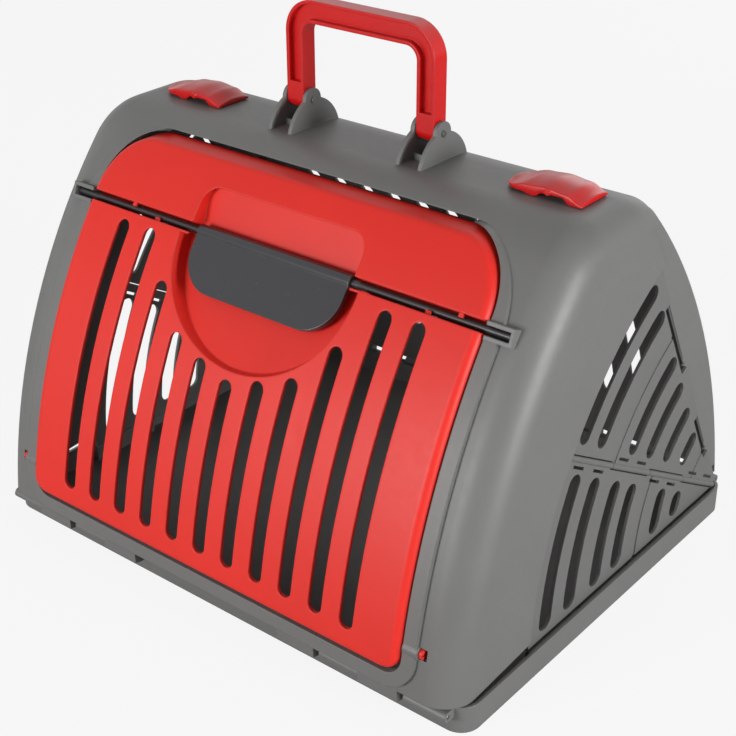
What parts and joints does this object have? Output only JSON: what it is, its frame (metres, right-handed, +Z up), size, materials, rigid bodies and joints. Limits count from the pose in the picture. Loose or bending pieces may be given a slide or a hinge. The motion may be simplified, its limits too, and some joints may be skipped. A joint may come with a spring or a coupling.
{
  "type": "collapsible pet carrier",
  "caption": "Rigid folding pet carrier: tray base, arched front and back shells, folding vented end walls, slotted front door with a latch bar, and a carrying handle on the ridge.",
  "frame": {"origin": "middle of the tray's flat underside, on the plane it stands on", "axes": "+X along the ridge (the longest side), +Y from the door to the back, +Z up"},
  "size_m": [0.47, 0.4025, 0.424],
  "materials": {
    "shell_grey": "satin moulded polypropylene, mid grey",
    "panel_grey": "satin moulded polypropylene, mid grey",
    "door_red": "semi-gloss moulded polypropylene, bright red",
    "handle_red": "semi-gloss moulded nylon, red",
    "paddle_slate": "glossy moulded plastic, slate",
    "rod_dark": "satin moulded plastic, near black",
    "pin_dark": "satin plastic rod, dark grey"
  },
  "bodies": {
    "tray": {"base_tray": "shell_grey", "front_hinge_rods": "pin_dark", "back_hinge_rods": "pin_dark", "panel_base_pin_left": "pin_dark", "panel_base_pin_right": "pin_dark"},
    "front": {"front_shell": "shell_grey", "handle_pin_left": "pin_dark", "handle_pin_right": "pin_dark"},
    "back": {"back_shell": "shell_grey"},
    "lower_left": {"lower_end_panel_left": "panel_grey", "panel_fold_pin_left": "pin_dark"},
    "lower_right": {"lower_end_panel_right": "panel_grey", "panel_fold_pin_right": "pin_dark"},
    "upper_left": {"upper_end_panel_left": "panel_grey"},
    "upper_right": {"upper_end_panel_right": "panel_grey"},
    "door": {"door_panel": "door_red", "door_pin_left": "door_red", "door_pin_right": "door_red"},
    "latch_bar": {"latch_rod": "rod_dark", "latch_paddle": "paddle_slate"},
    "handle": {"carry_handle": "handle_red"},
    "ridge_left": {"ridge_latch_left": "handle_red", "latch_cam_left": "handle_red"},
    "ridge_right": {"ridge_latch_right": "handle_red", "latch_cam_right": "handle_red"}
  },
  "joints": [
    {"name": "front_shell_swing", "type": "hinge", "parent": "tray", "child": "front", "pos_m": [0, -0.1915, 0.017], "axis": [1, 0, 0], "range_deg": [0, 95]},
    {"name": "back_shell_fold", "type": "hinge", "parent": "tray", "child": "back", "pos_m": [0, 0.1915, 0.017], "axis": [1, 0, 0], "range_deg": [0, 38]},
    {"name": "end_panels_fold", "type": "hinge", "parent": "tray", "child": "lower_right", "pos_m": [0.2284, 0.186, 0.016], "axis": [0, -1, 0], "range_deg": [0, 82]},
    {"name": "lower_left_fold", "type": "hinge", "parent": "tray", "child": "lower_left", "pos_m": [-0.2284, 0.186, 0.016], "axis": [0, 1, 0], "range_deg": [0, 82]},
    {"name": "upper_right_fold", "type": "hinge", "parent": "lower_right", "child": "upper_right", "pos_m": [0.2284, 0.186, 0.016], "axis": [0, 0.8607, -0.509], "range_deg": [0, 155.8]},
    {"name": "upper_left_fold", "type": "hinge", "parent": "lower_left", "child": "upper_left", "pos_m": [-0.2284, 0.186, 0.016], "axis": [0, -0.8607, 0.509], "range_deg": [0, 155.8]},
    {"name": "door_swing", "type": "hinge", "parent": "front", "child": "door", "pos_m": [0, -0.192, 0.061], "axis": [1, 0, 0], "range_deg": [0, 95]},
    {"name": "latch_bar_turn", "type": "hinge", "parent": "door", "child": "latch_bar", "pos_m": [0, -0.10652, 0.266], "axis": [-1, 0, 0], "range_deg": [0, 90]},
    {"name": "handle_swing", "type": "hinge", "parent": "front", "child": "handle", "pos_m": [0, -0.004, 0.346], "axis": [1, 0, 0], "range_deg": [-85, 85]},
    {"name": "ridge_latch_left_turn", "type": "hinge", "parent": "front", "child": "ridge_left", "pos_m": [-0.155, -0.004, 0.32537], "axis": [0, 0, 1], "range_deg": [0, 90]},
    {"name": "ridge_latch_right_turn", "type": "hinge", "parent": "front", "child": "ridge_right", "pos_m": [0.179, -0.004, 0.32537], "axis": [0, 0, 1], "range_deg": [0, 90]}
  ],
  "couplings": [
    {"joint": "lower_left_fold", "follows": "end_panels_fold", "ratio": 1},
    {"joint": "upper_right_fold", "follows": "end_panels_fold", "ratio": 1.9},
    {"joint": "upper_left_fold", "follows": "end_panels_fold", "ratio": 1.9}
  ]
}
